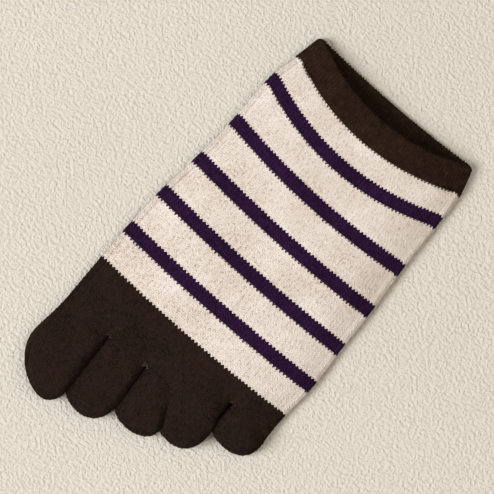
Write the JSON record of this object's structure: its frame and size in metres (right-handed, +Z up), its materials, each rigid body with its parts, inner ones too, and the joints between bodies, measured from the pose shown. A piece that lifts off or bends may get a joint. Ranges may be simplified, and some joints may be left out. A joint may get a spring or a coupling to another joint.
{
  "type": "toe sock",
  "caption": "Low-cut knitted toe sock for a left foot, laid flat: a striped tube with an open ribbed cuff and a closed pocket for each toe.",
  "frame": {"origin": "under the middle of the sock's box, on the surface that the sole lies on", "axes": "+Y from the toes to the cuff, +X across to the little toe, +Z up out of the instep"},
  "size_m": [0.0984, 0.18, 0.011],
  "materials": {
    "cuff_yarn": "matt dark brown cotton in a fine rib",
    "toe_yarn": "matt dark brown cotton in plain knit",
    "cream_yarn": "matt pinkish cream cotton in plain knit",
    "purple_yarn": "matt deep purple cotton in plain knit"
  },
  "bodies": {
    "root": {"cuff": "cuff_yarn", "forefoot": "toe_yarn", "four_toe_band": "toe_yarn", "cream_band_1": "cream_yarn", "cream_band_2": "cream_yarn", "cream_band_3": "cream_yarn", "cream_band_4": "cream_yarn", "cream_band_5": "cream_yarn", "cream_band_6": "cream_yarn", "stripe_1": "purple_yarn", "toe_1": "toe_yarn", "stripe_2": "purple_yarn", "toe_2": "toe_yarn", "stripe_3": "purple_yarn", "toe_3": "toe_yarn", "stripe_4": "purple_yarn", "toe_4": "toe_yarn", "stripe_5": "purple_yarn", "toe_5": "toe_yarn"}
  },
  "joints": []
}
